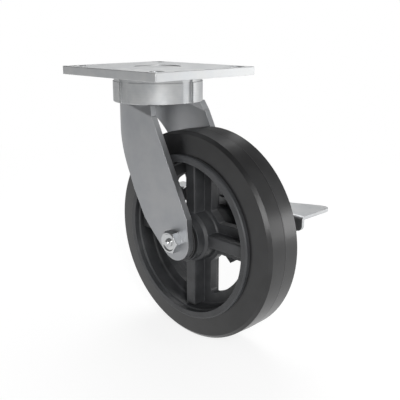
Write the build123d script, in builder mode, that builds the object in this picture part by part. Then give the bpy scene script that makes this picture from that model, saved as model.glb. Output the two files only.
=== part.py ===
import os
from math import acos, asin, atan2, cos, degrees, floor, hypot, pi, radians, sin, tan

from build123d import *

# Swivel castor with a double-plate fork, a ball raceway and a foot brake.
# Millimetres, +Z up. The origin is the centre of the mounting face, on the swivel axis.
# The wheel trails towards +X, and the brake pedal is on the +Y side.

# Mounting plate
PLATE_LENGTH = 141.8
PLATE_WIDTH = 127.6
PLATE_THICKNESS = 8.0
PLATE_CORNER = 1.5
SLOT_EDGE_X = 12.4
SLOT_EDGE_Y = 12.3
SLOT_WIDTH = 11.1
SLOT_LENGTH = 16.0

# Ball raceway
BALL_DIAMETER = 11.1
BALL_SPACING = 0.5
BALL_PITCH_RADIUS = 32.0
BALL_CENTRE_Z = -22.0
BALL_CLEARANCE = 0.06
RACE_LAND_GAP = 2.0
SPIGOT_STEP = 7.0
SPIGOT_RECESS = 0.8
INNER_RACE_BOTTOM = -30.8
INNER_RACE_WALL = 16.0
INNER_RACE_ROOF = 6.0
RING_WALL = 10.45
RING_COLLAR_STEP = 1.05
RING_STEP_Z = -13.6
RING_BOTTOM_Z = -33.3
RING_TO_PLATE_GAP = 0.8
RING_CHAMFER = 0.5
NOTCH_WIDTH = 12.7
NOTCH_DEPTH = 3.175
SEAL_INSET = 2.4
SEAL_WIDTH = 3.2
SEAL_DEPTH = 2.2
SEAL_TO_PLATE_GAP = 0.3
CAP_SEAT = 1.2
CAP_THICKNESS = 1.2
CAP_RIM_WIDTH = 11.2
CAP_DISH_DEPTH = 2.0
FILL_HOLE_ANGLE = 135
FILL_HOLE_CLEARANCE = 0.3
NIPPLE_ANGLE = 160

# Fork
LEG_THICKNESS = 6.35
FORK_GAP = 63.5
LEG_FRONT_GAP = 6.0
NOSE_START_Z = -103.3
NOSE_ANGLE = 62.5
FOLD_FRONT_X = 4.9
FOLD_FRONT_Z = -35.5
FOLD_CORNER_X = 34.06
FOLD_CORNER_Z = -43.0
FOLD_ANGLE = 18.0
FOLD_BEND_RADIUS = 6.0
FOLD_FLANGE_DEPTH = 14.0
FOLD_FLANGE_SLANT = 10.0
AXLE_X = 63.5
AXLE_Z = -156.6
LEG_END_RADIUS = 19.05
LEG_NOSE_RUN = 58.0
LEG_NOSE_RISE = 40.6
LEG_WAIST_RUN = 42.5
LEG_WAIST_RISE = 13.8
LEG_HEEL_RUN = 33.4
LEG_HEEL_RISE = 4.8
LEG_KNEE_RUN = 16.9
LEG_KNEE_RISE = 23.8
PIN_FIT = 0.05

# Axle
AXLE_RADIUS = 6.35
HEX_ACROSS_FLATS = 19.05
HEAD_HEIGHT = 7.9
HEAD_CHAMFER = 1.1
HEAD_INDENT_RADIUS = 8.4
HEAD_INDENT_DEPTH = 1.2
NUT_HEIGHT = 11.0
NUT_COLLAR_RADIUS = 7.9
WASHER_RADIUS = 13.5
WASHER_THICKNESS = 2.5
BOLT_END_STICKOUT = 2.0
THRUST_WASHER_RADIUS = 21.0
THRUST_WASHER_THICKNESS = 3.2
SLEEVE_RADIUS = 9.525
GREASE_DRILLING = 1.5
GREASE_CROSS_DRILLING = 1.1

# Grease nipples
NIPPLE_SHANK_RADIUS = 3.0
NIPPLE_SHANK_LENGTH = 5.0
NIPPLE_FLANGE_RADIUS = 4.0
NIPPLE_BALL_RADIUS = 2.7
NIPPLE_HEIGHT = 4.1

# Wheel casting
RIM_RADIUS = 79.7
RIM_HALF_WIDTH = 26.2
RIM_LIP_CHAMFER = 1.0
RIM_LIP_THICKNESS = 6.5
RIM_BORE_STEP = 1.0
RIM_BORE_STEP_Y = 20.8
WEB_THICKNESS = 8.1
WINDOW_TO_RIM = 11.7
WINDOW_TO_HUB = 4.5
WINDOW_CORNER = 3.5
SPOKE_WIDTH = 30.5
RIB_WIDTH = 12.2
RIB_HEIGHT = 17.5
RIB_TO_RIM = 1.2
RIB_EDGE_RADIUS = 1.6
CASTING_FILLET = 2.5
HUB_RADIUS = 24.5
HUB_END_STEP = 2.3
HUB_HALF_LENGTH = 28.2
HUB_SHOULDER_Y = 19.7

# Tyre
TYRE_DEPTH = 22.3
TYRE_HALF_WIDTH = 21.7
TYRE_SIDE_LEAN = 1.9
TYRE_SHOULDER_X = 2.9
TYRE_SHOULDER_DROP = 3.4

# Roller bearing
BEARING_RADIUS = 15.08
BEARING_WALL = 1.5
BEARING_HALF_LENGTH = 26.5
ROLLER_COUNT = 12
ROLLER_FIT = 0.03
CAGE_THICKNESS = 1.6
CAGE_END_RING = 2.0
CAGE_END_GAP = 0.5
ROLLER_POCKET_GAP = 0.12

# Brake lever
LEVER_THICKNESS = 3.0
LEVER_RISE = 29.9
LEVER_REACH = 97.2
LEVER_FRONT_REACH = 77.5
LEVER_DROP = 37.4
LEVER_DROP_RUN = 10.8
LEVER_END_DEPTH = 13.8
LEVER_END_RADIUS = 5.5
LEVER_FRONT_ARM = 26.0
PEDAL_LENGTH = 69.7
PEDAL_REACH_Y = 78.0
PEDAL_CORNER = 7.9
FRONT_PEDAL_LENGTH = 18.8
FRONT_PEDAL_REACH_Y = 46.0
FRONT_PEDAL_CORNER = 2.0
PEDAL_BEND_RADIUS = 3.3
LEVER_SIDE_GAP = 0.3

RIM_BORE_RADIUS = RIM_RADIUS - RIM_LIP_THICKNESS
RIM_INNER_BORE_RADIUS = RIM_BORE_RADIUS - RIM_BORE_STEP
WINDOW_OUTER_RADIUS = RIM_INNER_BORE_RADIUS - WINDOW_TO_RIM
WINDOW_INNER_RADIUS = HUB_RADIUS + WINDOW_TO_HUB
RIB_REACH = RIM_INNER_BORE_RADIUS - RIB_TO_RIM
HUB_END_RADIUS = HUB_RADIUS - HUB_END_STEP
TYRE_RADIUS = RIM_RADIUS + TYRE_DEPTH
LEG_INNER_Y = FORK_GAP / 2
LEG_OUTER_Y = LEG_INNER_Y + LEG_THICKNESS
PLATE_BOTTOM_Z = -PLATE_THICKNESS
RING_TOP_Z = PLATE_BOTTOM_Z - RING_TO_PLATE_GAP
BALL_RADIUS = BALL_DIAMETER / 2
GROOVE_RADIUS = BALL_RADIUS + BALL_CLEARANCE
BALL_COUNT = floor(pi / asin((BALL_DIAMETER + BALL_SPACING) / (2 * BALL_PITCH_RADIUS)))
INNER_LAND_RADIUS = BALL_PITCH_RADIUS - RACE_LAND_GAP
INNER_RACE_BORE = INNER_LAND_RADIUS - INNER_RACE_WALL
SPIGOT_RADIUS = INNER_LAND_RADIUS - SPIGOT_STEP
OUTER_LAND_RADIUS = BALL_PITCH_RADIUS + RACE_LAND_GAP
RING_RADIUS = OUTER_LAND_RADIUS + RING_WALL
RING_COLLAR_RADIUS = RING_RADIUS - RING_COLLAR_STEP
NOTCH_FLOOR = RING_RADIUS - NOTCH_DEPTH
SEAL_OUTER_RADIUS = OUTER_LAND_RADIUS + SEAL_INSET + SEAL_WIDTH
CAP_RADIUS = OUTER_LAND_RADIUS + CAP_SEAT
CAP_DISH_RADIUS = CAP_RADIUS - CAP_RIM_WIDTH
AXLE_HOLE_RADIUS = AXLE_RADIUS + PIN_FIT
HEAD_FACE_Y = -(LEG_OUTER_Y + HEAD_HEIGHT)
HEAD_FLOOR_Y = HEAD_FACE_Y + HEAD_INDENT_DEPTH
LEVER_TOP_Z = AXLE_Z + LEVER_RISE
LEVER_END_X = AXLE_X + LEVER_REACH
PEDAL_FRONT_X = LEVER_END_X - PEDAL_LENGTH
LEVER_FRONT_X = AXLE_X - LEVER_FRONT_REACH
FRONT_PEDAL_END_X = LEVER_FRONT_X + FRONT_PEDAL_LENGTH
SWIVEL_AXIS = Axis.Z
AXLE_AXIS = Axis((AXLE_X, 0, AXLE_Z), (0, 1, 0))


def side_plane(y):
    """Plane square to the axle at a distance y, centred on the axle, seen from the -Y side."""
    return Plane(origin=(AXLE_X, y, AXLE_Z), x_dir=(1, 0, 0), z_dir=(0, -1, 0))


def axle_section():
    """Plane through the axle: local x runs along the axle, local y is the radius."""
    return Plane(origin=(AXLE_X, 0, AXLE_Z), x_dir=(0, 1, 0), z_dir=(1, 0, 0))


def ring_radial_plane(angle, distance):
    """Plane on the raceway's ball line, facing outwards at an angle round the swivel axis."""
    outward = (cos(radians(angle)), sin(radians(angle)), 0)
    origin = (distance * outward[0], distance * outward[1], BALL_CENTRE_Z)
    return Plane(origin=origin, x_dir=(0, 0, 1), z_dir=outward)


# Top plate: a flat plate with four slots and a bore for the inner raceway's spigot
with BuildPart() as top_plate:
    with BuildSketch(Plane.XY):
        RectangleRounded(PLATE_LENGTH, PLATE_WIDTH, PLATE_CORNER)
        Circle(SPIGOT_RADIUS, mode=Mode.SUBTRACT)
        with GridLocations(PLATE_LENGTH - 2 * SLOT_EDGE_X, PLATE_WIDTH - 2 * SLOT_EDGE_Y, 2, 2):
            SlotOverall(SLOT_LENGTH, SLOT_WIDTH, mode=Mode.SUBTRACT)
    extrude(amount=-PLATE_THICKNESS)
    chamfer(top_plate.faces().sort_by(Axis.Z)[-1].outer_wire().edges(), 0.4)
top_plate.part.label = "top_plate"

# Inner raceway: a turned cup welded into the plate, with the ball groove round it
with BuildPart() as inner_raceway:
    with BuildSketch(Plane.XZ):
        with BuildLine():
            Polyline(
                (0, -SPIGOT_RECESS),
                (SPIGOT_RADIUS, -SPIGOT_RECESS),
                (SPIGOT_RADIUS, PLATE_BOTTOM_Z),
                (INNER_LAND_RADIUS, PLATE_BOTTOM_Z),
                (INNER_LAND_RADIUS, INNER_RACE_BOTTOM),
                (INNER_RACE_BORE, INNER_RACE_BOTTOM),
                (INNER_RACE_BORE, PLATE_BOTTOM_Z - INNER_RACE_ROOF),
                (0, PLATE_BOTTOM_Z - INNER_RACE_ROOF),
                close=True,
            )
        make_face()
        with Locations((BALL_PITCH_RADIUS, BALL_CENTRE_Z)):
            Circle(GROOVE_RADIUS, mode=Mode.SUBTRACT)
    revolve(axis=SWIVEL_AXIS)
inner_raceway.part.label = "inner_raceway"

# Balls: one full row between the two raceways
with BuildPart() as race_balls:
    with Locations((0, 0, BALL_CENTRE_Z)):
        with PolarLocations(BALL_PITCH_RADIUS, BALL_COUNT):
            Sphere(BALL_RADIUS)
race_balls.part.label = "race_balls"

# Outer raceway: the turned ring that the fork is welded to
with BuildPart() as outer_raceway:
    with BuildSketch(Plane.XZ):
        with BuildLine():
            Polyline(
                (OUTER_LAND_RADIUS, RING_TOP_Z),
                (SEAL_OUTER_RADIUS - SEAL_WIDTH, RING_TOP_Z),
                (SEAL_OUTER_RADIUS - SEAL_WIDTH, RING_TOP_Z - SEAL_DEPTH),
                (SEAL_OUTER_RADIUS, RING_TOP_Z - SEAL_DEPTH),
                (SEAL_OUTER_RADIUS, RING_TOP_Z),
                (RING_COLLAR_RADIUS - RING_CHAMFER, RING_TOP_Z),
                (RING_COLLAR_RADIUS, RING_TOP_Z - RING_CHAMFER),
                (RING_COLLAR_RADIUS, RING_STEP_Z),
                (RING_RADIUS, RING_STEP_Z),
                (RING_RADIUS, RING_BOTTOM_Z + RING_CHAMFER),
                (RING_RADIUS - RING_CHAMFER, RING_BOTTOM_Z),
                (CAP_RADIUS, RING_BOTTOM_Z),
                (CAP_RADIUS, RING_BOTTOM_Z + CAP_THICKNESS),
                (OUTER_LAND_RADIUS, RING_BOTTOM_Z + CAP_THICKNESS),
                close=True,
            )
        make_face()
        with Locations((BALL_PITCH_RADIUS, BALL_CENTRE_Z)):
            Circle(GROOVE_RADIUS, mode=Mode.SUBTRACT)
    revolve(axis=SWIVEL_AXIS)
    with BuildSketch(Plane.XY.offset(RING_BOTTOM_Z)):
        with PolarLocations(NOTCH_FLOOR + NOTCH_WIDTH / 2, 4):
            Rectangle(NOTCH_WIDTH, NOTCH_WIDTH)
    extrude(amount=RING_TOP_Z - RING_BOTTOM_Z, mode=Mode.SUBTRACT)
    with BuildSketch(ring_radial_plane(FILL_HOLE_ANGLE, BALL_PITCH_RADIUS)):
        Circle(BALL_RADIUS + FILL_HOLE_CLEARANCE)
    extrude(amount=RING_RADIUS, mode=Mode.SUBTRACT)
    with BuildSketch(ring_radial_plane(NIPPLE_ANGLE, BALL_PITCH_RADIUS)):
        Circle(GREASE_DRILLING)
    extrude(amount=RING_RADIUS, mode=Mode.SUBTRACT)
    with BuildSketch(ring_radial_plane(NIPPLE_ANGLE, RING_RADIUS)):
        Circle(NIPPLE_SHANK_RADIUS)
    extrude(amount=-NIPPLE_SHANK_LENGTH, mode=Mode.SUBTRACT)
outer_raceway.part.label = "outer_raceway"

# Seal: a rubber ring in the top of the outer raceway that wipes the plate
with BuildPart() as raceway_seal:
    with BuildSketch(Plane.XY.offset(RING_TOP_Z - SEAL_DEPTH)):
        Circle(SEAL_OUTER_RADIUS)
        Circle(SEAL_OUTER_RADIUS - SEAL_WIDTH, mode=Mode.SUBTRACT)
    extrude(amount=SEAL_DEPTH + RING_TO_PLATE_GAP - SEAL_TO_PLATE_GAP)
raceway_seal.part.label = "raceway_seal"

# Dust cap: a disc pressed into the bottom of the ring, with a shallow dish
with BuildPart() as dust_cap:
    with BuildSketch(Plane.XZ):
        with BuildLine():
            Polyline(
                (0, RING_BOTTOM_Z - CAP_DISH_DEPTH),
                (CAP_DISH_RADIUS, RING_BOTTOM_Z - CAP_DISH_DEPTH),
                (CAP_DISH_RADIUS + CAP_DISH_DEPTH, RING_BOTTOM_Z),
                (CAP_RADIUS, RING_BOTTOM_Z),
                (CAP_RADIUS, RING_BOTTOM_Z + CAP_THICKNESS),
                (CAP_DISH_RADIUS + CAP_DISH_DEPTH, RING_BOTTOM_Z + CAP_THICKNESS),
                (CAP_DISH_RADIUS, RING_BOTTOM_Z + CAP_THICKNESS - CAP_DISH_DEPTH),
                (0, RING_BOTTOM_Z + CAP_THICKNESS - CAP_DISH_DEPTH),
                close=True,
            )
        make_face()
    revolve(axis=SWIVEL_AXIS)
dust_cap.part.label = "dust_cap"

# Plug: closes the hole through which the balls are filled, and completes the groove
with BuildPart() as ball_fill_plug:
    with BuildSketch(ring_radial_plane(FILL_HOLE_ANGLE, BALL_PITCH_RADIUS)):
        Circle(BALL_RADIUS + FILL_HOLE_CLEARANCE)
    extrude(amount=RING_COLLAR_RADIUS - BALL_PITCH_RADIUS)
    with BuildSketch(Plane.XZ):
        with Locations((BALL_PITCH_RADIUS, BALL_CENTRE_Z)):
            Circle(GROOVE_RADIUS)
    revolve(axis=SWIVEL_AXIS, mode=Mode.SUBTRACT)
    with BuildSketch(Plane.XY.offset(RING_BOTTOM_Z)):
        Circle(OUTER_LAND_RADIUS)
    extrude(amount=RING_TOP_Z - RING_BOTTOM_Z, mode=Mode.SUBTRACT)
ball_fill_plug.part.label = "ball_fill_plug"


def grease_nipple(plane):
    """A short grease nipple whose flange sits on the plane."""
    with BuildPart() as nipple:
        with BuildSketch(Plane.XZ):
            with BuildLine():
                Polyline(
                    (0, -NIPPLE_SHANK_LENGTH),
                    (NIPPLE_SHANK_RADIUS, -NIPPLE_SHANK_LENGTH),
                    (NIPPLE_SHANK_RADIUS, 0),
                    (NIPPLE_FLANGE_RADIUS, 0),
                    (NIPPLE_FLANGE_RADIUS, NIPPLE_HEIGHT * 0.25),
                    (NIPPLE_BALL_RADIUS * 0.75, NIPPLE_HEIGHT * 0.5),
                    (NIPPLE_BALL_RADIUS, NIPPLE_HEIGHT * 0.7),
                    (NIPPLE_BALL_RADIUS * 0.7, NIPPLE_HEIGHT),
                    (0, NIPPLE_HEIGHT),
                    close=True,
                )
            make_face()
        revolve(axis=Axis.Z)
    return plane * nipple.part


# Grease nipples: one for the raceway and one in the axle bolt's head
raceway_grease_nipple = grease_nipple(ring_radial_plane(NIPPLE_ANGLE, RING_RADIUS))
raceway_grease_nipple.label = "raceway_grease_nipple"
axle_grease_nipple = grease_nipple(side_plane(HEAD_FLOOR_Y))
axle_grease_nipple.label = "axle_grease_nipple"

# Fork legs: each is a formed plate with its front edge curled round the swivel axis
# and its upper rear corner folded in to meet the ring
FOLD_RUN = hypot(FOLD_CORNER_X - FOLD_FRONT_X, FOLD_CORNER_Z - FOLD_FRONT_Z)
FOLD_SLOPE = (FOLD_CORNER_Z - FOLD_FRONT_Z) / (FOLD_CORNER_X - FOLD_FRONT_X)
FOLD_START_X = FOLD_FRONT_X + (RING_BOTTOM_Z - FOLD_FRONT_Z) / FOLD_SLOPE
FOLD_DIP = degrees(atan2(FOLD_CORNER_Z - FOLD_FRONT_Z, FOLD_CORNER_X - FOLD_FRONT_X))
NOSE_TOP_X = (NOSE_START_Z - RING_BOTTOM_Z) / tan(radians(NOSE_ANGLE))
LEG_SHEET_END_X = AXLE_X + 1.25 * LEG_END_RADIUS


def leg_end_tangent(run, rise, turn):
    """Where the edge from a corner, placed from the axle by run and rise, touches the round end."""
    angle = atan2(rise, run) + turn * acos(LEG_END_RADIUS / hypot(run, rise))
    return AXLE_X + LEG_END_RADIUS * cos(angle), AXLE_Z + LEG_END_RADIUS * sin(angle)


def fork_leg(side):
    """One leg: side is -1 for the near leg and +1 for the leg with the brake."""
    with BuildPart() as leg:
        with BuildSketch(Plane.XY.offset(RING_BOTTOM_Z)):
            with BuildLine():
                Polyline((LEG_SHEET_END_X, side * LEG_INNER_Y), (0, side * LEG_INNER_Y))
                CenterArc((0, 0), LEG_INNER_Y, side * 90, side * 90)
                Line((-LEG_INNER_Y, 0), (-LEG_OUTER_Y, 0))
                CenterArc((0, 0), LEG_OUTER_Y, 180, -side * 90)
                Polyline(
                    (0, side * LEG_OUTER_Y),
                    (LEG_SHEET_END_X, side * LEG_OUTER_Y),
                    (LEG_SHEET_END_X, side * LEG_INNER_Y),
                )
            make_face()
            Rectangle(4 * LEG_OUTER_Y, LEG_FRONT_GAP, mode=Mode.SUBTRACT)
        extrude(amount=AXLE_Z - LEG_END_RADIUS - RING_BOTTOM_Z)
        with BuildSketch(Plane.XZ.offset(-2 * LEG_OUTER_Y)):
            with BuildLine():
                outline = [
                    (NOSE_TOP_X, RING_BOTTOM_Z),
                    (0, NOSE_START_Z),
                    (AXLE_X - LEG_NOSE_RUN, AXLE_Z + LEG_NOSE_RISE),
                    (AXLE_X - LEG_WAIST_RUN, AXLE_Z + LEG_WAIST_RISE),
                    (AXLE_X - LEG_HEEL_RUN, AXLE_Z + LEG_HEEL_RISE),
                    leg_end_tangent(-LEG_HEEL_RUN, LEG_HEEL_RISE, 1),
                    (AXLE_X, AXLE_Z),
                    leg_end_tangent(LEG_KNEE_RUN, LEG_KNEE_RISE, -1),
                    (AXLE_X + LEG_KNEE_RUN, AXLE_Z + LEG_KNEE_RISE),
                    (FOLD_CORNER_X, FOLD_CORNER_Z),
                    (FOLD_START_X, RING_BOTTOM_Z),
                ]
                Polyline(*outline, close=True)
            make_face()
            with Locations((AXLE_X, AXLE_Z)):
                Circle(LEG_END_RADIUS)
        extrude(amount=4 * LEG_OUTER_Y, mode=Mode.INTERSECT)
        fold_direction = Vector(cos(radians(FOLD_DIP)), 0, sin(radians(FOLD_DIP)))
        flat_outward = Vector(0, side, 0)
        lean_axis = Axis((0, 0, 0), fold_direction)
        outward = flat_outward.rotate(lean_axis, side * FOLD_ANGLE)
        fold_plane = Plane(
            origin=(FOLD_START_X, side * LEG_OUTER_Y, RING_BOTTOM_Z),
            x_dir=fold_direction,
            z_dir=outward,
        )
        fold_length = hypot(FOLD_CORNER_X - FOLD_START_X, FOLD_CORNER_Z - RING_BOTTOM_Z)
        up = -side
        with BuildSketch(fold_plane):
            with BuildLine():
                Polyline(
                    (0, 0),
                    (fold_length, 0),
                    (fold_length - FOLD_FLANGE_SLANT, up * FOLD_FLANGE_DEPTH),
                    (0, up * FOLD_FLANGE_DEPTH),
                    close=True,
                )
            make_face()
        extrude(amount=-LEG_THICKNESS)
        split(bisect_by=Plane.XY.offset(RING_BOTTOM_Z), keep=Keep.BOTTOM)
        fold_edge = leg.edges().filter_by(Axis((0, 0, 0), fold_direction)).sort_by(
            lambda e: abs(e.center().Y)
        )[-1]
        fillet(fold_edge, FOLD_BEND_RADIUS)
        with Locations(side_plane(0)):
            Hole(AXLE_HOLE_RADIUS, 2 * LEG_OUTER_Y)
    return leg.part


near_leg = fork_leg(-1)
near_leg.label = "near_leg"
far_leg = fork_leg(1)
far_leg.label = "far_leg"

# Axle bolt: indented hexagon head on the near side, with a grease drilling to the sleeve
BOLT_END_Y = LEG_OUTER_Y + WASHER_THICKNESS + NUT_HEIGHT + BOLT_END_STICKOUT
with BuildPart() as axle_bolt:
    with BuildSketch(axle_section()):
        with BuildLine():
            Polyline(
                (HEAD_FLOOR_Y, 0),
                (HEAD_FLOOR_Y, HEAD_INDENT_RADIUS - HEAD_INDENT_DEPTH),
                (HEAD_FACE_Y, HEAD_INDENT_RADIUS),
                (HEAD_FACE_Y, HEX_ACROSS_FLATS * 0.485),
                (HEAD_FACE_Y + HEAD_CHAMFER, HEX_ACROSS_FLATS * 0.59),
                (-LEG_OUTER_Y, HEX_ACROSS_FLATS * 0.59),
                (-LEG_OUTER_Y, 0),
                close=True,
            )
        make_face()
    revolve(axis=AXLE_AXIS)
    with BuildSketch(side_plane(-LEG_OUTER_Y)):
        RegularPolygon(HEX_ACROSS_FLATS / 2, 6, major_radius=False, rotation=0)
    extrude(amount=HEAD_HEIGHT, mode=Mode.INTERSECT)
    with BuildSketch(side_plane(-LEG_OUTER_Y)):
        Circle(AXLE_RADIUS)
    extrude(amount=-(LEG_OUTER_Y + BOLT_END_Y))
    chamfer(axle_bolt.edges().sort_by(Axis.Y)[-1], 1.0)
    with Locations(side_plane(HEAD_FLOOR_Y)):
        Hole(NIPPLE_SHANK_RADIUS, NIPPLE_SHANK_LENGTH)
        Hole(GREASE_DRILLING, -HEAD_FLOOR_Y + GREASE_DRILLING)
    with Locations(Plane(origin=(AXLE_X, 0, AXLE_Z + AXLE_RADIUS), z_dir=(0, 0, 1))):
        Hole(GREASE_CROSS_DRILLING, AXLE_RADIUS)
axle_bolt.part.label = "axle_bolt"

# Washer and lock nut on the far end of the axle
with BuildPart() as axle_washer:
    with BuildSketch(side_plane(LEG_OUTER_Y)):
        Circle(WASHER_RADIUS)
        Circle(AXLE_HOLE_RADIUS, mode=Mode.SUBTRACT)
    extrude(amount=-WASHER_THICKNESS)
axle_washer.part.label = "axle_washer"

with BuildPart() as axle_nut:
    with BuildSketch(side_plane(LEG_OUTER_Y + WASHER_THICKNESS)):
        RegularPolygon(HEX_ACROSS_FLATS / 2, 6, major_radius=False, rotation=0)
    extrude(amount=-NUT_HEIGHT * 0.75)
    with BuildSketch(side_plane(LEG_OUTER_Y + WASHER_THICKNESS + NUT_HEIGHT * 0.75)):
        Circle(NUT_COLLAR_RADIUS)
    extrude(amount=-NUT_HEIGHT * 0.25)
    with BuildSketch(side_plane(LEG_OUTER_Y + WASHER_THICKNESS)):
        Circle(AXLE_RADIUS)
    extrude(amount=-NUT_HEIGHT, mode=Mode.SUBTRACT)
    fillet(axle_nut.edges().filter_by(GeomType.CIRCLE).group_by(Axis.Y)[-1].sort_by(SortBy.RADIUS)[-1], 1.0)
axle_nut.part.label = "axle_nut"

# Thrust washer: fills the gap between the near leg and the hub
with BuildPart() as thrust_washer:
    with BuildSketch(side_plane(-LEG_INNER_Y)):
        Circle(THRUST_WASHER_RADIUS)
        Circle(AXLE_HOLE_RADIUS, mode=Mode.SUBTRACT)
    extrude(amount=-THRUST_WASHER_THICKNESS)
    chamfer(thrust_washer.edges().filter_by(GeomType.CIRCLE).group_by(SortBy.RADIUS)[-1], 0.3)
thrust_washer.part.label = "thrust_washer"

# Bearing sleeve: the fixed tube on the bolt that the rollers and the brake lever turn on
SLEEVE_START_Y = -LEG_INNER_Y + THRUST_WASHER_THICKNESS
with BuildPart() as bearing_sleeve:
    with BuildSketch(side_plane(SLEEVE_START_Y)):
        Circle(SLEEVE_RADIUS)
        Circle(AXLE_HOLE_RADIUS, mode=Mode.SUBTRACT)
    extrude(amount=-(LEG_INNER_Y - SLEEVE_START_Y))
    with Locations(Plane(origin=(AXLE_X, 0, AXLE_Z + SLEEVE_RADIUS), z_dir=(0, 0, 1))):
        Hole(GREASE_DRILLING, SLEEVE_RADIUS)
bearing_sleeve.part.label = "bearing_sleeve"

# A pair of opposite ribs, made as one rounded bar that runs through the hub
with BuildPart() as rib_pair:
    Box(2 * RIB_REACH, 2 * RIB_HEIGHT, RIB_WIDTH)
    fillet(rib_pair.edges(), RIB_EDGE_RADIUS)

# Wheel casting: rim, web with four windows, hub, and a rib on each face of each spoke
with BuildPart() as wheel_casting:
    with BuildSketch(axle_section()) as casting_section:
        with BuildLine():
            Polyline(
                (RIM_HALF_WIDTH, RIM_BORE_RADIUS),
                (RIM_HALF_WIDTH, RIM_RADIUS - RIM_LIP_CHAMFER),
                (RIM_HALF_WIDTH - RIM_LIP_CHAMFER, RIM_RADIUS),
                (0, RIM_RADIUS),
                (0, BEARING_RADIUS),
                (HUB_HALF_LENGTH, BEARING_RADIUS),
                (HUB_HALF_LENGTH, HUB_END_RADIUS),
                (HUB_SHOULDER_Y, HUB_END_RADIUS),
                (HUB_SHOULDER_Y - HUB_RADIUS + HUB_END_RADIUS, HUB_RADIUS),
                (WEB_THICKNESS / 2, HUB_RADIUS),
                (WEB_THICKNESS / 2, RIM_INNER_BORE_RADIUS),
                (RIM_BORE_STEP_Y - RIM_BORE_RADIUS + RIM_INNER_BORE_RADIUS, RIM_INNER_BORE_RADIUS),
                (RIM_BORE_STEP_Y, RIM_BORE_RADIUS),
                close=True,
            )
        make_face()
        web_roots = casting_section.vertices().filter_by(lambda v: abs(v.X - WEB_THICKNESS / 2) < 0.01)
        fillet(web_roots, CASTING_FILLET)
        mirror(about=Plane.YZ)
    revolve(axis=AXLE_AXIS)
    with BuildSketch(side_plane(WEB_THICKNESS)):
        Circle(WINDOW_OUTER_RADIUS)
        Circle(WINDOW_INNER_RADIUS, mode=Mode.SUBTRACT)
        Rectangle(2 * RIM_RADIUS, SPOKE_WIDTH, mode=Mode.SUBTRACT)
        Rectangle(SPOKE_WIDTH, 2 * RIM_RADIUS, mode=Mode.SUBTRACT)
    extrude(amount=2 * WEB_THICKNESS, mode=Mode.SUBTRACT)
    hub_centre = Vector(AXLE_X, 0, AXLE_Z)
    window_corners = wheel_casting.edges().filter_by(Axis.Y).filter_by(
        lambda e: WINDOW_INNER_RADIUS - 1 < (e.center() - hub_centre).length < WINDOW_OUTER_RADIUS + 1
    )
    fillet(window_corners, WINDOW_CORNER)
    with Locations((AXLE_X, 0, AXLE_Z)):
        add(rib_pair.part)
        add(rib_pair.part, rotation=(0, 90, 0))
    with Locations(side_plane(-HUB_HALF_LENGTH)):
        Hole(BEARING_RADIUS, 2 * HUB_HALF_LENGTH)
wheel_casting.part.label = "wheel_casting"

# Tyre: a rubber band moulded on the rim, with tapered sides and bevelled shoulders
with BuildPart() as tyre:
    with BuildSketch(axle_section()):
        with BuildLine():
            Polyline(
                (0, RIM_RADIUS),
                (TYRE_HALF_WIDTH, RIM_RADIUS),
                (TYRE_HALF_WIDTH - TYRE_SIDE_LEAN, TYRE_RADIUS - TYRE_SHOULDER_DROP),
                (TYRE_HALF_WIDTH - TYRE_SIDE_LEAN - TYRE_SHOULDER_X, TYRE_RADIUS - 0.4),
                (0, TYRE_RADIUS),
                close=True,
            )
        make_face()
        mirror(about=Plane.YZ)
    revolve(axis=AXLE_AXIS)
tyre.part.label = "tyre"

# Bearing race: a hardened tube pressed in the hub
with BuildPart() as bearing_race:
    with BuildSketch(side_plane(BEARING_HALF_LENGTH)):
        Circle(BEARING_RADIUS)
        Circle(BEARING_RADIUS - BEARING_WALL, mode=Mode.SUBTRACT)
    extrude(amount=2 * BEARING_HALF_LENGTH)
bearing_race.part.label = "bearing_race"

# Rollers: a ring of long rollers between the sleeve and the race
RACE_BORE_RADIUS = BEARING_RADIUS - BEARING_WALL
ROLLER_PITCH_RADIUS = (RACE_BORE_RADIUS + SLEEVE_RADIUS) / 2
ROLLER_RADIUS = (RACE_BORE_RADIUS - SLEEVE_RADIUS) / 2 - ROLLER_FIT
CAGE_HALF_LENGTH = BEARING_HALF_LENGTH - CAGE_END_GAP
ROLLER_HALF_LENGTH = CAGE_HALF_LENGTH - CAGE_END_RING - ROLLER_POCKET_GAP
with BuildPart() as bearing_rollers:
    with BuildSketch(side_plane(ROLLER_HALF_LENGTH)):
        with PolarLocations(ROLLER_PITCH_RADIUS, ROLLER_COUNT):
            Circle(ROLLER_RADIUS)
    extrude(amount=2 * ROLLER_HALF_LENGTH)
bearing_rollers.part.label = "bearing_rollers"

# Cage: a slotted tube that keeps the rollers apart
with BuildPart() as bearing_cage:
    with BuildSketch(side_plane(CAGE_HALF_LENGTH)):
        Circle(ROLLER_PITCH_RADIUS + CAGE_THICKNESS / 2)
        Circle(ROLLER_PITCH_RADIUS - CAGE_THICKNESS / 2, mode=Mode.SUBTRACT)
    extrude(amount=2 * CAGE_HALF_LENGTH)
    with BuildSketch(side_plane(CAGE_HALF_LENGTH - CAGE_END_RING)):
        with PolarLocations(ROLLER_PITCH_RADIUS, ROLLER_COUNT):
            Circle(ROLLER_RADIUS + ROLLER_POCKET_GAP)
    extrude(amount=2 * (CAGE_HALF_LENGTH - CAGE_END_RING), mode=Mode.SUBTRACT)
bearing_cage.part.label = "bearing_cage"

# Brake lever: a flat web on the axle inside the far leg, with a pedal bent outwards at each end
LEVER_FACE_Y = LEG_INNER_Y - LEVER_SIDE_GAP - LEVER_THICKNESS
LEVER_BEND_Z = LEVER_TOP_Z - PEDAL_BEND_RADIUS
LEVER_END_Z = LEVER_TOP_Z - LEVER_END_DEPTH


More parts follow.
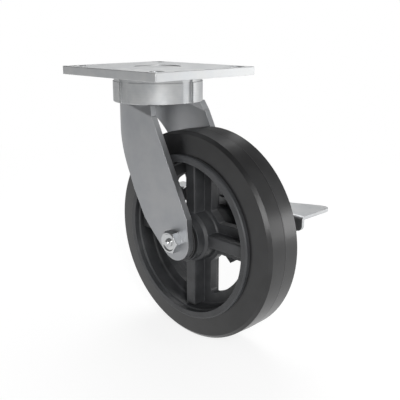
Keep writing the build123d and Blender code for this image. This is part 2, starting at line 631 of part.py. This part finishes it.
def pedal_flange(start_x, end_x, start_reach, end_reach, corner):
    """A flange bent out from the top of the web; its reach grows from its start to its end."""
    with BuildPart() as flange:
        with BuildSketch(Plane.YZ.offset(start_x)):
            with BuildLine():
                FilletPolyline(
                    (LEVER_FACE_Y + LEVER_THICKNESS / 2, LEVER_BEND_Z),
                    (LEVER_FACE_Y + LEVER_THICKNESS / 2, LEVER_TOP_Z - LEVER_THICKNESS / 2),
                    (end_reach, LEVER_TOP_Z - LEVER_THICKNESS / 2),
                    radius=PEDAL_BEND_RADIUS - LEVER_THICKNESS / 2 - 0.01,
                )
            trace(line_width=LEVER_THICKNESS)
        extrude(amount=end_x - start_x)
        with BuildSketch(Plane.XY.offset(LEVER_BEND_Z)) as outline:
            with BuildLine():
                Polyline(
                    (start_x, LEVER_FACE_Y),
                    (end_x, LEVER_FACE_Y),
                    (end_x, end_reach),
                    (start_x, start_reach),
                    close=True,
                )
            make_face()
            fillet(outline.vertices().sort_by(Axis.Y)[2:], corner)
        extrude(amount=PEDAL_BEND_RADIUS, mode=Mode.INTERSECT)
    return flange.part


with BuildPart() as brake_lever:
    with BuildSketch(Plane.XZ.offset(-LEVER_FACE_Y)) as lever_web:
        with BuildLine():
            Polyline(
                (LEVER_FRONT_X, LEVER_BEND_Z),
                (FRONT_PEDAL_END_X, LEVER_BEND_Z),
                (FRONT_PEDAL_END_X + PEDAL_BEND_RADIUS, LEVER_TOP_Z),
                (PEDAL_FRONT_X - PEDAL_BEND_RADIUS, LEVER_TOP_Z),
                (PEDAL_FRONT_X, LEVER_BEND_Z),
                (LEVER_END_X, LEVER_BEND_Z),
                (LEVER_END_X, LEVER_END_Z),
                (LEVER_END_X - LEVER_END_RADIUS, LEVER_END_Z),
                (AXLE_X + LEVER_DROP_RUN, AXLE_Z - LEVER_DROP),
                (LEVER_FRONT_X + LEVER_FRONT_ARM, LEVER_END_Z),
                (LEVER_FRONT_X, LEVER_END_Z),
                close=True,
            )
        make_face()
        end_corners = lever_web.vertices().group_by(Axis.Y)[1].sort_by(Axis.X)
        fillet([end_corners[0], end_corners[-1]], LEVER_END_RADIUS - 0.1)
        with Locations((AXLE_X, AXLE_Z)):
            Circle(SLEEVE_RADIUS + PIN_FIT, mode=Mode.SUBTRACT)
    extrude(amount=-LEVER_THICKNESS)
    add(pedal_flange(PEDAL_FRONT_X, LEVER_END_X, FRONT_PEDAL_REACH_Y, PEDAL_REACH_Y, PEDAL_CORNER))
    add(
        pedal_flange(
            LEVER_FRONT_X, FRONT_PEDAL_END_X, FRONT_PEDAL_REACH_Y, FRONT_PEDAL_REACH_Y, FRONT_PEDAL_CORNER
        )
    )
brake_lever.part.label = "brake_lever"

os.makedirs("parts", exist_ok=True)
export_step(top_plate.part, "parts/top_plate.step")
export_step(inner_raceway.part, "parts/inner_raceway.step")
export_step(race_balls.part, "parts/race_balls.step")
export_step(outer_raceway.part, "parts/outer_raceway.step")
export_step(raceway_seal.part, "parts/raceway_seal.step")
export_step(dust_cap.part, "parts/dust_cap.step")
export_step(ball_fill_plug.part, "parts/ball_fill_plug.step")
export_step(raceway_grease_nipple, "parts/raceway_grease_nipple.step")
export_step(near_leg, "parts/near_leg.step")
export_step(far_leg, "parts/far_leg.step")
export_step(axle_bolt.part, "parts/axle_bolt.step")
export_step(axle_grease_nipple, "parts/axle_grease_nipple.step")
export_step(axle_washer.part, "parts/axle_washer.step")
export_step(axle_nut.part, "parts/axle_nut.step")
export_step(thrust_washer.part, "parts/thrust_washer.step")
export_step(bearing_sleeve.part, "parts/bearing_sleeve.step")
export_step(wheel_casting.part, "parts/wheel_casting.step")
export_step(tyre.part, "parts/tyre.step")
export_step(bearing_race.part, "parts/bearing_race.step")
export_step(bearing_rollers.part, "parts/bearing_rollers.step")
export_step(bearing_cage.part, "parts/bearing_cage.step")
export_step(brake_lever.part, "parts/brake_lever.step")
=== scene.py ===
import math

import bpy
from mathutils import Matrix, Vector

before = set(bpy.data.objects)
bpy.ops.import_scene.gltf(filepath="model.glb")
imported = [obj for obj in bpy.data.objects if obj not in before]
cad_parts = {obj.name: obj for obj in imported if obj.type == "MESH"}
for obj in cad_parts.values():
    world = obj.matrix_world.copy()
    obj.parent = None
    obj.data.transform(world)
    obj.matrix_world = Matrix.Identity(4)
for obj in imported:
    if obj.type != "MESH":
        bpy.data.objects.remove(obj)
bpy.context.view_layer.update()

# Swivel castor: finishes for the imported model, with a studio and a camera. Lengths are in
# metres, +Z is up, the origin is the centre of the mounting face, and the wheel trails
# towards +X. Every piece of the castor is a CAD node that keeps its shape, so nothing is
# added to it here.

MM = 0.001
AXLE = Vector((63.5, 0.0, -156.6)) * MM
FLOOR_Z = -258.6 * MM

# The noise behind most finishes: soft clouds with some finer mottle in them
CLOUDY = {"Detail": 3.0, "Roughness": 0.55}

# Noise values crowd round a half, so patterns are read between these two pairs of values:
# the narrow one gives patches that stand apart, the wide one a softer change.
NARROW = {"From Min": 0.35, "From Max": 0.65}
WIDE = {"From Min": 0.3, "From Max": 0.7}

# Wear follows the cosine between a face's own normal and the one rounded over its edges
WEAR_STARTS = 0.999
WEAR_IS_FULL = 0.93


def linear(hex_colour):
    """The linear RGBA value of an sRGB hex colour."""
    channels = [int(hex_colour[i:i + 2], 16) / 255 for i in (0, 2, 4)]
    return (*[c / 12.92 if c <= 0.04045 else ((c + 0.055) / 1.055) ** 2.4
              for c in channels], 1.0)


def per_patch(size_mm):
    """The scale of a noise whose patches are about size_mm across."""
    return 1.0 / (size_mm * MM)


def add_node(tree, kind, settings=None, inputs=None):
    """Adds one node: settings are its properties, and inputs are values or the sockets that
    feed it."""
    new = tree.nodes.new(kind)
    for name, value in (settings or {}).items():
        setattr(new, name, value)
    for name, value in (inputs or {}).items():
        if isinstance(value, bpy.types.NodeSocket):
            tree.links.new(value, new.inputs[name])
        else:
            new.inputs[name].default_value = value
    return new


def start_material(name):
    """A material with an empty node tree, that tree, and the place on the object."""
    material = bpy.data.materials.new(name)
    material.use_nodes = True
    tree = material.node_tree
    tree.nodes.clear()
    return material, tree, add_node(tree, "ShaderNodeTexCoord").outputs["Object"]


def drifting_colour(tree, cloud, darker, lighter):
    """A colour that drifts between two with the patches of a cloudy noise."""
    share = add_node(tree, "ShaderNodeMapRange", inputs={"Value": cloud, **NARROW})
    drift = add_node(tree, "ShaderNodeMix", {"data_type": "RGBA"}, {
        0: share.outputs["Result"], 6: linear(darker), 7: linear(lighter)})
    return drift.outputs[2]


def worn_edges(tree, radius_mm, colour, worn):
    """The colour with its sharp edges worn to another, and the normal that rounds them."""
    rounded = add_node(tree, "ShaderNodeBevel", {"samples": 6}, {"Radius": radius_mm * MM})
    flat = add_node(tree, "ShaderNodeNewGeometry")
    turned = add_node(tree, "ShaderNodeVectorMath", {"operation": "DOT_PRODUCT"},
                      {0: rounded.outputs["Normal"], 1: flat.outputs["Normal"]})
    edge = add_node(tree, "ShaderNodeMapRange", inputs={
        "Value": turned.outputs["Value"], "From Min": WEAR_STARTS, "From Max": WEAR_IS_FULL})
    blend = add_node(tree, "ShaderNodeMix", {"data_type": "RGBA"}, {
        0: edge.outputs["Result"], 6: colour, 7: linear(worn)})
    return blend.outputs[2], rounded.outputs["Normal"]


def plated_plate_steel(name, darker, lighter, sheared):
    """Zinc-plated hot-rolled plate: a soft grey satin with cloudy patches, the grain of the
    rolled skin under the zinc, and brighter sheared edges."""
    material, tree, place = start_material(name)
    cloud = add_node(tree, "ShaderNodeTexNoise", inputs={
        "Vector": place, "Scale": per_patch(22.0), **CLOUDY})
    drawn_out = add_node(tree, "ShaderNodeMapping", inputs={
        "Vector": place, "Scale": (1.0, 1.0, 0.12)})
    mill_grain = add_node(tree, "ShaderNodeTexNoise", inputs={
        "Vector": drawn_out.outputs["Vector"], "Scale": per_patch(1.6),
        "Detail": 2.0, "Roughness": 0.55})
    tone = drifting_colour(tree, cloud.outputs["Fac"], darker, lighter)
    colour, rounded = worn_edges(tree, 0.5, tone, sheared)
    gloss = add_node(tree, "ShaderNodeMapRange", inputs={
        "Value": cloud.outputs["Fac"], **WIDE, "To Min": 0.46, "To Max": 0.53})
    rolled_skin = add_node(tree, "ShaderNodeBump", inputs={
        "Height": mill_grain.outputs["Fac"], "Distance": 0.03 * MM, "Strength": 0.35,
        "Normal": rounded})
    zinc = add_node(tree, "ShaderNodeBsdfPrincipled", inputs={
        "Base Color": colour, "Metallic": 1.0, "Roughness": gloss.outputs["Result"],
        "Normal": rolled_skin.outputs["Normal"]})
    add_node(tree, "ShaderNodeOutputMaterial", inputs={"Surface": zinc.outputs["BSDF"]})
    return material


def turned_plated_steel():
    """Zinc-plated turned steel: the tool's rings show as fine lines round the raceway, drawn
    2.5 mm apart because the real 0.2 mm lines are too fine to show."""
    material, tree, place = start_material("zinc_plated_turned_steel")
    cloud = add_node(tree, "ShaderNodeTexNoise", inputs={
        "Vector": place, "Scale": per_patch(16.0), **CLOUDY})
    # At scale 1 a wave texture goes through 20 radians in each metre
    tool_rings = add_node(tree, "ShaderNodeTexWave", {"bands_direction": "Z"}, {
        "Vector": place, "Scale": math.tau / (20.0 * 2.5 * MM), "Distortion": 0.6,
        "Detail": 1.0})
    tone = drifting_colour(tree, cloud.outputs["Fac"], "B0B2B4", "BEBFBF")
    colour, rounded = worn_edges(tree, 0.4, tone, "D6D7D7")
    gloss = add_node(tree, "ShaderNodeMapRange", inputs={
        "Value": tool_rings.outputs["Fac"], "To Min": 0.48, "To Max": 0.53})
    turned_skin = add_node(tree, "ShaderNodeBump", inputs={
        "Height": tool_rings.outputs["Fac"], "Distance": 0.006 * MM, "Strength": 0.4,
        "Normal": rounded})
    zinc = add_node(tree, "ShaderNodeBsdfPrincipled", inputs={
        "Base Color": colour, "Metallic": 1.0, "Roughness": gloss.outputs["Result"],
        "Normal": turned_skin.outputs["Normal"]})
    add_node(tree, "ShaderNodeOutputMaterial", inputs={"Surface": zinc.outputs["BSDF"]})
    return material


def bright_hardware():
    """Bright zinc on cold-headed fasteners: shinier than the plate, in slow cloudy patches
    with no grain."""
    material, tree, place = start_material("bright_zinc_fastener_steel")
    cloud = add_node(tree, "ShaderNodeTexNoise", inputs={
        "Vector": place, "Scale": per_patch(5.0), "Detail": 0.5, "Roughness": 0.55})
    tone = drifting_colour(tree, cloud.outputs["Fac"], "BCBEC0", "C8C9C9")
    colour, rounded = worn_edges(tree, 0.2, tone, "DCDDDD")
    gloss = add_node(tree, "ShaderNodeMapRange", inputs={
        "Value": cloud.outputs["Fac"], **WIDE, "To Min": 0.28, "To Max": 0.33})
    zinc = add_node(tree, "ShaderNodeBsdfPrincipled", inputs={
        "Base Color": colour, "Metallic": 1.0, "Roughness": gloss.outputs["Result"],
        "Normal": rounded})
    add_node(tree, "ShaderNodeOutputMaterial", inputs={"Surface": zinc.outputs["BSDF"]})
    return material


def bearing_steel():
    """Ground bearing steel under a film of oil: a dark mirror with faint straw patches."""
    material, tree, place = start_material("ground_bearing_steel")
    cloud = add_node(tree, "ShaderNodeTexNoise", inputs={
        "Vector": place, "Scale": per_patch(4.0), **CLOUDY})
    colour = add_node(tree, "ShaderNodeMix", {"data_type": "RGBA"}, {
        0: cloud.outputs["Fac"], 6: linear("C2C2C1"), 7: linear("CFCDC8")})
    gloss = add_node(tree, "ShaderNodeMapRange", inputs={
        "Value": cloud.outputs["Fac"], **WIDE, "To Min": 0.1, "To Max": 0.2})
    steel = add_node(tree, "ShaderNodeBsdfPrincipled", inputs={
        "Base Color": colour.outputs[2], "Metallic": 1.0,
        "Roughness": gloss.outputs["Result"]})
    add_node(tree, "ShaderNodeOutputMaterial", inputs={"Surface": steel.outputs["BSDF"]})
    return material


def painted_cast_iron():
    """Sand-cast iron under one coat of dark grey enamel: the sand's grain stands through the
    paint, and the coat is a little lighter where it pulls thin on the edges."""
    material, tree, place = start_material("enamelled_cast_iron")
    cloud = add_node(tree, "ShaderNodeTexNoise", inputs={
        "Vector": place, "Scale": per_patch(14.0), **CLOUDY})
    sand = add_node(tree, "ShaderNodeTexNoise", inputs={
        "Vector": place, "Scale": per_patch(1.1), "Detail": 4.0, "Roughness": 0.65})
    tone = drifting_colour(tree, cloud.outputs["Fac"], "393A3C", "454648")
    colour, rounded = worn_edges(tree, 0.8, tone, "55575A")
    gloss = add_node(tree, "ShaderNodeMapRange", inputs={
        "Value": sand.outputs["Fac"], **WIDE, "To Min": 0.36, "To Max": 0.5})
    sand_grain = add_node(tree, "ShaderNodeBump", inputs={
        "Height": sand.outputs["Fac"], "Distance": 0.12 * MM, "Strength": 0.35,
        "Normal": rounded})
    enamel = add_node(tree, "ShaderNodeBsdfPrincipled", inputs={
        "Base Color": colour, "Roughness": gloss.outputs["Result"], "IOR": 1.5,
        "Normal": sand_grain.outputs["Normal"]})
    add_node(tree, "ShaderNodeOutputMaterial", inputs={"Surface": enamel.outputs["BSDF"]})
    return material


def moulded_tyre_rubber():
    """Moulded black rubber: satin sides with faint rings from the mould, and a parting line
    round the middle of the tread."""
    material, tree, place = start_material("moulded_tyre_rubber")
    from_axle = add_node(tree, "ShaderNodeMapping", inputs={
        "Vector": place, "Location": -AXLE}).outputs["Vector"]
    along_axle = add_node(tree, "ShaderNodeSeparateXYZ", inputs={"Vector": from_axle})
    from_middle = add_node(tree, "ShaderNodeMath", {"operation": "ABSOLUTE"},
                           {0: along_axle.outputs["Y"]})
    seam = add_node(tree, "ShaderNodeMapRange", inputs={
        "Value": from_middle.outputs["Value"], "From Min": 0.25 * MM, "From Max": 0.6 * MM,
        "To Min": 1.0, "To Max": 0.0})
    across_axle = add_node(tree, "ShaderNodeVectorMath", {"operation": "MULTIPLY"},
                           {0: from_axle, 1: (1, 0, 1)})
    radius = add_node(tree, "ShaderNodeVectorMath", {"operation": "LENGTH"},
                      {0: across_axle.outputs["Vector"]})
    mould_rings = add_node(tree, "ShaderNodeTexNoise", {"noise_dimensions": "1D"}, {
        "W": radius.outputs["Value"], "Scale": per_patch(1.4), "Detail": 1.0})
    dust = add_node(tree, "ShaderNodeTexNoise", inputs={
        "Vector": from_axle, "Scale": per_patch(18.0), "Detail": 1.0, "Roughness": 0.55})
    skin = add_node(tree, "ShaderNodeTexNoise", inputs={
        "Vector": from_axle, "Scale": per_patch(0.7), "Detail": 1.0, "Roughness": 0.55})
    tone = drifting_colour(tree, dust.outputs["Fac"], "1E1E1F", "272728")
    colour = add_node(tree, "ShaderNodeMix", {"data_type": "RGBA"}, {
        0: seam.outputs["Result"], 6: tone, 7: linear("161617")})
    gloss = add_node(tree, "ShaderNodeMapRange", inputs={
        "Value": dust.outputs["Fac"], **WIDE, "To Min": 0.28, "To Max": 0.32})
    ringed = add_node(tree, "ShaderNodeBump", inputs={
        "Height": mould_rings.outputs["Fac"], "Distance": 0.02 * MM, "Strength": 0.4})
    grained = add_node(tree, "ShaderNodeBump", inputs={
        "Height": skin.outputs["Fac"], "Distance": 0.004 * MM, "Strength": 0.3,
        "Normal": ringed.outputs["Normal"]})
    parted = add_node(tree, "ShaderNodeBump", inputs={
        "Height": seam.outputs["Result"], "Distance": 0.25 * MM, "Strength": 0.6,
        "Normal": grained.outputs["Normal"]})
    rubber = add_node(tree, "ShaderNodeBsdfPrincipled", inputs={
        "Base Color": colour.outputs[2], "Roughness": gloss.outputs["Result"], "IOR": 1.52,
        "Normal": parted.outputs["Normal"]})
    add_node(tree, "ShaderNodeOutputMaterial", inputs={"Surface": rubber.outputs["BSDF"]})
    return material


def black_nylon():
    """Black moulded nylon: a soft sheen with faint flow marks."""
    material, tree, place = start_material("black_nylon_washer")
    flow = add_node(tree, "ShaderNodeTexNoise", inputs={
        "Vector": place, "Scale": per_patch(6.0), **CLOUDY})
    skin = add_node(tree, "ShaderNodeTexNoise", inputs={
        "Vector": place, "Scale": per_patch(0.8), **CLOUDY})
    colour = add_node(tree, "ShaderNodeMix", {"data_type": "RGBA"}, {
        0: flow.outputs["Fac"], 6: linear("1B1B1C"), 7: linear("252526")})
    gloss = add_node(tree, "ShaderNodeMapRange", inputs={
        "Value": flow.outputs["Fac"], **WIDE, "To Min": 0.32, "To Max": 0.42})
    grained = add_node(tree, "ShaderNodeBump", inputs={
        "Height": skin.outputs["Fac"], "Distance": 0.02 * MM, "Strength": 0.3})
    polymer = add_node(tree, "ShaderNodeBsdfPrincipled", inputs={
        "Base Color": colour.outputs[2], "Roughness": gloss.outputs["Result"], "IOR": 1.53,
        "Normal": grained.outputs["Normal"]})
    add_node(tree, "ShaderNodeOutputMaterial", inputs={"Surface": polymer.outputs["BSDF"]})
    return material


def seal_rubber():
    """Black nitrile rubber: matt, with a dusty bloom."""
    material, tree, place = start_material("nitrile_seal_rubber")
    bloom = add_node(tree, "ShaderNodeTexNoise", inputs={
        "Vector": place, "Scale": per_patch(3.0), **CLOUDY})
    colour = add_node(tree, "ShaderNodeMix", {"data_type": "RGBA"}, {
        0: bloom.outputs["Fac"], 6: linear("161616"), 7: linear("202021")})
    gloss = add_node(tree, "ShaderNodeMapRange", inputs={
        "Value": bloom.outputs["Fac"], **WIDE, "To Min": 0.55, "To Max": 0.7})
    rubber = add_node(tree, "ShaderNodeBsdfPrincipled", inputs={
        "Base Color": colour.outputs[2], "Roughness": gloss.outputs["Result"], "IOR": 1.52})
    add_node(tree, "ShaderNodeOutputMaterial", inputs={"Surface": rubber.outputs["BSDF"]})
    return material


# The top plate, dust cap, brake lever and fork legs are one zinc-plated steel. Its two copies
# differ only by painted light: the plate's tones are painted lighter, and the legs' tones are
# painted darker as shade.
plate_steel_painted_lit = plated_plate_steel("zinc_plated_steel_painted_lit", "BCBEC0", "C8C9C9", "DADBDB")
leg_steel_painted_shade = plated_plate_steel("zinc_plated_steel_painted_shade", "A0A2A5", "ACADAF", "C8C9CA")
turned_steel = turned_plated_steel()
fastener_steel = bright_hardware()
race_steel = bearing_steel()
wheel_paint = painted_cast_iron()
tyre_rubber = moulded_tyre_rubber()
nylon = black_nylon()
nitrile = seal_rubber()

finishes = {
    "top_plate": plate_steel_painted_lit,
    "inner_raceway": turned_steel,
    "race_balls": race_steel,
    "outer_raceway": turned_steel,
    "raceway_seal": nitrile,
    "dust_cap": plate_steel_painted_lit,
    "ball_fill_plug": fastener_steel,
    "raceway_grease_nipple": fastener_steel,
    "near_leg": leg_steel_painted_shade,
    "far_leg": leg_steel_painted_shade,
    "axle_bolt": fastener_steel,
    "axle_grease_nipple": fastener_steel,
    "axle_washer": fastener_steel,
    "axle_nut": fastener_steel,
    "thrust_washer": nylon,
    "bearing_sleeve": race_steel,
    "bearing_race": race_steel,
    "bearing_rollers": race_steel,
    "bearing_cage": race_steel,
    "wheel_casting": wheel_paint,
    "tyre": tyre_rubber,
    "brake_lever": plate_steel_painted_lit,
}
for name, finish in finishes.items():
    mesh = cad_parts[name].data
    mesh.materials.clear()
    mesh.materials.append(finish)


# Stage: a pale floor with the castor's soft shadow, which turns to plain white further out
FLOOR_REACH = 6.0
SHADOW_REACH = 0.35
WHITE_FROM = 1.1
FLOOR_GLOW = 0.8
PLAIN_WHITE = {"Color": linear("FFFFFF"), "Strength": 1.0}


def pale_floor():
    """Matt pale grey to the light that reaches the castor. To the camera and in reflections
    it also glows, so that only the shadow is darker than white."""
    material, tree, place = start_material("pale_floor")
    distance = add_node(tree, "ShaderNodeVectorMath", {"operation": "LENGTH"}, {0: place})
    far = add_node(tree, "ShaderNodeMapRange", inputs={
        "Value": distance.outputs["Value"], "From Min": SHADOW_REACH, "From Max": WHITE_FROM})
    ray = add_node(tree, "ShaderNodeLightPath")
    seen_or_mirrored = add_node(tree, "ShaderNodeMath", {"operation": "MAXIMUM"}, {
        0: ray.outputs["Is Camera Ray"], 1: ray.outputs["Is Glossy Ray"]})
    seen = add_node(tree, "ShaderNodeMath", {"operation": "MAXIMUM"}, {
        0: seen_or_mirrored.outputs["Value"], 1: ray.outputs["Is Transmission Ray"]})
    shaded = add_node(tree, "ShaderNodeBsdfDiffuse", inputs={"Color": linear("9A9A9A")})
    glow = add_node(tree, "ShaderNodeEmission", inputs={
        "Color": linear("FFFFFF"), "Strength": FLOOR_GLOW})
    lit = add_node(tree, "ShaderNodeAddShader", inputs={0: shaded.outputs[0], 1: glow.outputs[0]})
    white = add_node(tree, "ShaderNodeEmission", inputs=PLAIN_WHITE)
    seen_floor = add_node(tree, "ShaderNodeMixShader", inputs={
        0: far.outputs["Result"], 1: lit.outputs[0], 2: white.outputs[0]})
    plain = add_node(tree, "ShaderNodeBsdfDiffuse", inputs={"Color": linear("E6E6E6")})
    both = add_node(tree, "ShaderNodeMixShader", inputs={
        0: seen.outputs["Value"], 1: plain.outputs[0], 2: seen_floor.outputs[0]})
    add_node(tree, "ShaderNodeOutputMaterial", inputs={"Surface": both.outputs[0]})
    return material


floor_mesh = bpy.data.meshes.new("floor")
floor_mesh.from_pydata(
    [(x * FLOOR_REACH, y * FLOOR_REACH, 0) for x, y in ((-1, -1), (1, -1), (1, 1), (-1, 1))],
    [], [(0, 1, 2, 3)])
floor = bpy.data.objects.new("floor", floor_mesh)
floor.location = (AXLE.x, 0, FLOOR_Z)
floor.data.materials.append(pale_floor())
bpy.context.collection.objects.link(floor)

# World: plain white where the camera looks. Its light comes from a studio that is bright low
# down behind the castor's right side and dims upwards and towards the front.
BRIGHT_SIDE = (0.62, 0.72, -0.9)
DIM_STUDIO = 0.18
BRIGHT_STUDIO = 0.9
world = bpy.data.worlds.new("studio")
world.use_nodes = True
sky = world.node_tree
sky.nodes.clear()
direction = add_node(sky, "ShaderNodeTexCoord")
towards_bright = add_node(sky, "ShaderNodeVectorMath", {"operation": "DOT_PRODUCT"},
                          {0: direction.outputs["Generated"], 1: BRIGHT_SIDE})
brightness = add_node(sky, "ShaderNodeMapRange", inputs={
    "Value": towards_bright.outputs["Value"], "From Min": -0.1, "From Max": 0.9,
    "To Min": DIM_STUDIO, "To Max": BRIGHT_STUDIO})
ray = add_node(sky, "ShaderNodeLightPath")
studio = add_node(sky, "ShaderNodeBackground", inputs={
    "Color": linear("FFFFFF"), "Strength": brightness.outputs["Result"]})
backdrop = add_node(sky, "ShaderNodeBackground", inputs=PLAIN_WHITE)
both = add_node(sky, "ShaderNodeMixShader", inputs={
    0: ray.outputs["Is Camera Ray"], 1: studio.outputs[0], 2: backdrop.outputs[0]})
add_node(sky, "ShaderNodeOutputWorld", inputs={"Surface": both.outputs[0]})
bpy.context.scene.world = world

# Lamps, all aimed at the middle of the castor: name, place, width, height and watts.
# The first is low behind the right side, the second an upright strip in front that puts a
# band of light on the ring, and the third, high up behind, lights the plate's top.
CASTOR_MIDDLE = Vector((0.05, 0.0, -0.13))
soft_boxes = (
    ("key_from_the_right", (0.75, 0.95, -0.12), 0.4, 0.4, 2.3),
    ("front_right", (1.02, -0.72, 0.35), 0.25, 0.7, 8.0),
    ("glance_from_behind", (-0.6, 0.65, 1.1), 0.9, 0.9, 9.0),
)
for name, place, width, height, watts in soft_boxes:
    light = bpy.data.lights.new(name, "AREA")
    light.shape = "RECTANGLE"
    light.size = width
    light.size_y = height
    light.energy = watts
    lamp = bpy.data.objects.new(name, light)
    lamp.location = place
    lamp.rotation_euler = (CASTOR_MIDDLE - Vector(place)).to_track_quat("-Z", "Y").to_euler()
    bpy.context.collection.objects.link(lamp)

# Camera: the photograph's place, angle and focal length, fitted to the object's edges
PHOTO_WIDTH = 400
FOCAL_LENGTH_PIXELS = 627.83
CAMERA_PLACE = Vector((478.32, -412.91, 36.99)) * MM
CAMERA_AZIMUTH = 45.42
CAMERA_ELEVATION = 15.40
camera_data = bpy.data.cameras.new("camera")
camera_data.sensor_width = 36.0
camera_data.lens = FOCAL_LENGTH_PIXELS / PHOTO_WIDTH * camera_data.sensor_width
camera = bpy.data.objects.new("camera", camera_data)
camera.location = CAMERA_PLACE
camera.rotation_euler = (math.radians(90 - CAMERA_ELEVATION), 0, math.radians(CAMERA_AZIMUTH))
bpy.context.collection.objects.link(camera)
bpy.context.scene.camera = camera
bpy.context.scene.view_settings.view_transform = "Standard"
